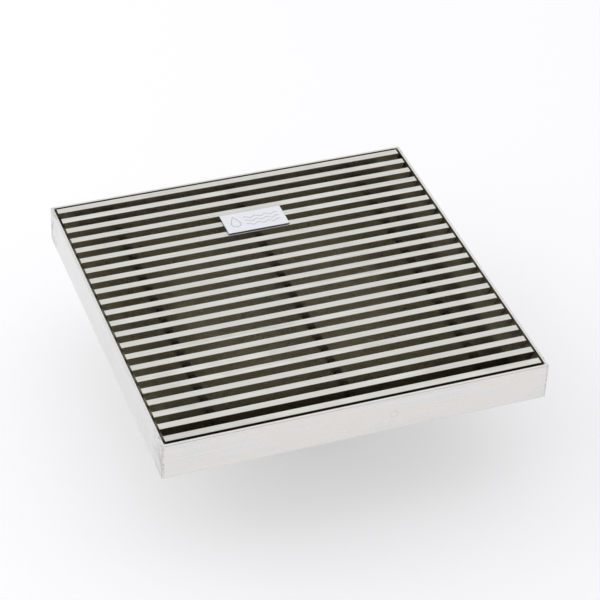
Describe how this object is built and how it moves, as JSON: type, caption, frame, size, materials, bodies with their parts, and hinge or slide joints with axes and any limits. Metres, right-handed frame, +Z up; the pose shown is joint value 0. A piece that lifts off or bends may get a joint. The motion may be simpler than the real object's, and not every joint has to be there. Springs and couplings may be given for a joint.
{
  "type": "floor drain grate",
  "caption": "Square bathroom floor drain with a lift-out grate of straight flat bars in a thin-walled tray, with a strainer and bell trap below.",
  "frame": {"origin": "centre of the outlet pipe's lower rim, on which the drain stands", "axes": "+Z up out of the floor, +X along the grate's bars, -Y towards the front edge"},
  "size_m": [0.15, 0.15, 0.0593],
  "materials": {
    "bar_steel": "fine brushed along the bar, satin",
    "rod_steel": "drawn, plain",
    "plate_steel": "fine satin",
    "adhesive_pad": "matt",
    "tray_steel": "satin, lightly ground at the corners",
    "weld_steel": "ground weld",
    "ledge_steel": "mill finish",
    "bowl_steel": "deep drawn, dull",
    "pipe_steel": "tube, dull",
    "washer_rubber": "matt",
    "bell_plastic": "moulded, satin",
    "strainer_steel": "punched sheet, satin",
    "knob_steel": "turned"
  },
  "bodies": {
    "drain_body": {"tray": "tray_steel", "corner_welds": "weld_steel", "ledge_left": "ledge_steel", "ledge_right": "ledge_steel", "trap_bowl": "bowl_steel", "flange_weld": "weld_steel", "weir_weld": "weld_steel", "outlet_pipe": "pipe_steel", "weir_pipe": "pipe_steel", "pipe_washer": "washer_rubber"},
    "grate": {"bar_01": "bar_steel", "bar_02": "bar_steel", "bar_03": "bar_steel", "bar_04": "bar_steel", "bar_05": "bar_steel", "bar_06": "bar_steel", "bar_07": "bar_steel", "bar_08": "bar_steel", "bar_09": "bar_steel", "bar_10": "bar_steel", "bar_11": "bar_steel", "bar_12": "bar_steel", "bar_13": "bar_steel", "bar_14": "bar_steel", "bar_15": "bar_steel", "bar_16": "bar_steel", "bar_17": "bar_steel", "bar_18": "bar_steel", "bar_19": "bar_steel", "bar_20": "bar_steel", "bar_21": "bar_steel", "bar_22": "bar_steel", "cross_rod_left": "rod_steel", "cross_rod_middle": "rod_steel", "cross_rod_right": "rod_steel", "nameplate": "plate_steel", "nameplate_adhesive": "adhesive_pad"},
    "strainer_insert": {"strainer": "strainer_steel", "strainer_knob": "knob_steel", "strainer_rivet": "knob_steel"},
    "bell_insert": {"bell_cap": "bell_plastic", "bell_knob": "bell_plastic"}
  },
  "joints": [
    {"name": "grate_lift", "type": "slide", "parent": "drain_body", "child": "grate", "axis": [0, 0, 1], "range_m": [0, 0.15]},
    {"name": "strainer_lift", "type": "slide", "parent": "drain_body", "child": "strainer_insert", "axis": [0, 0, 1], "range_m": [0, 0.09]},
    {"name": "bell_lift", "type": "slide", "parent": "drain_body", "child": "bell_insert", "axis": [0, 0, 1], "range_m": [0, 0.045]}
  ],
  "couplings": [
    {"joint": "strainer_lift", "follows": "grate_lift", "ratio": 0.6},
    {"joint": "bell_lift", "follows": "grate_lift", "ratio": 0.3}
  ]
}
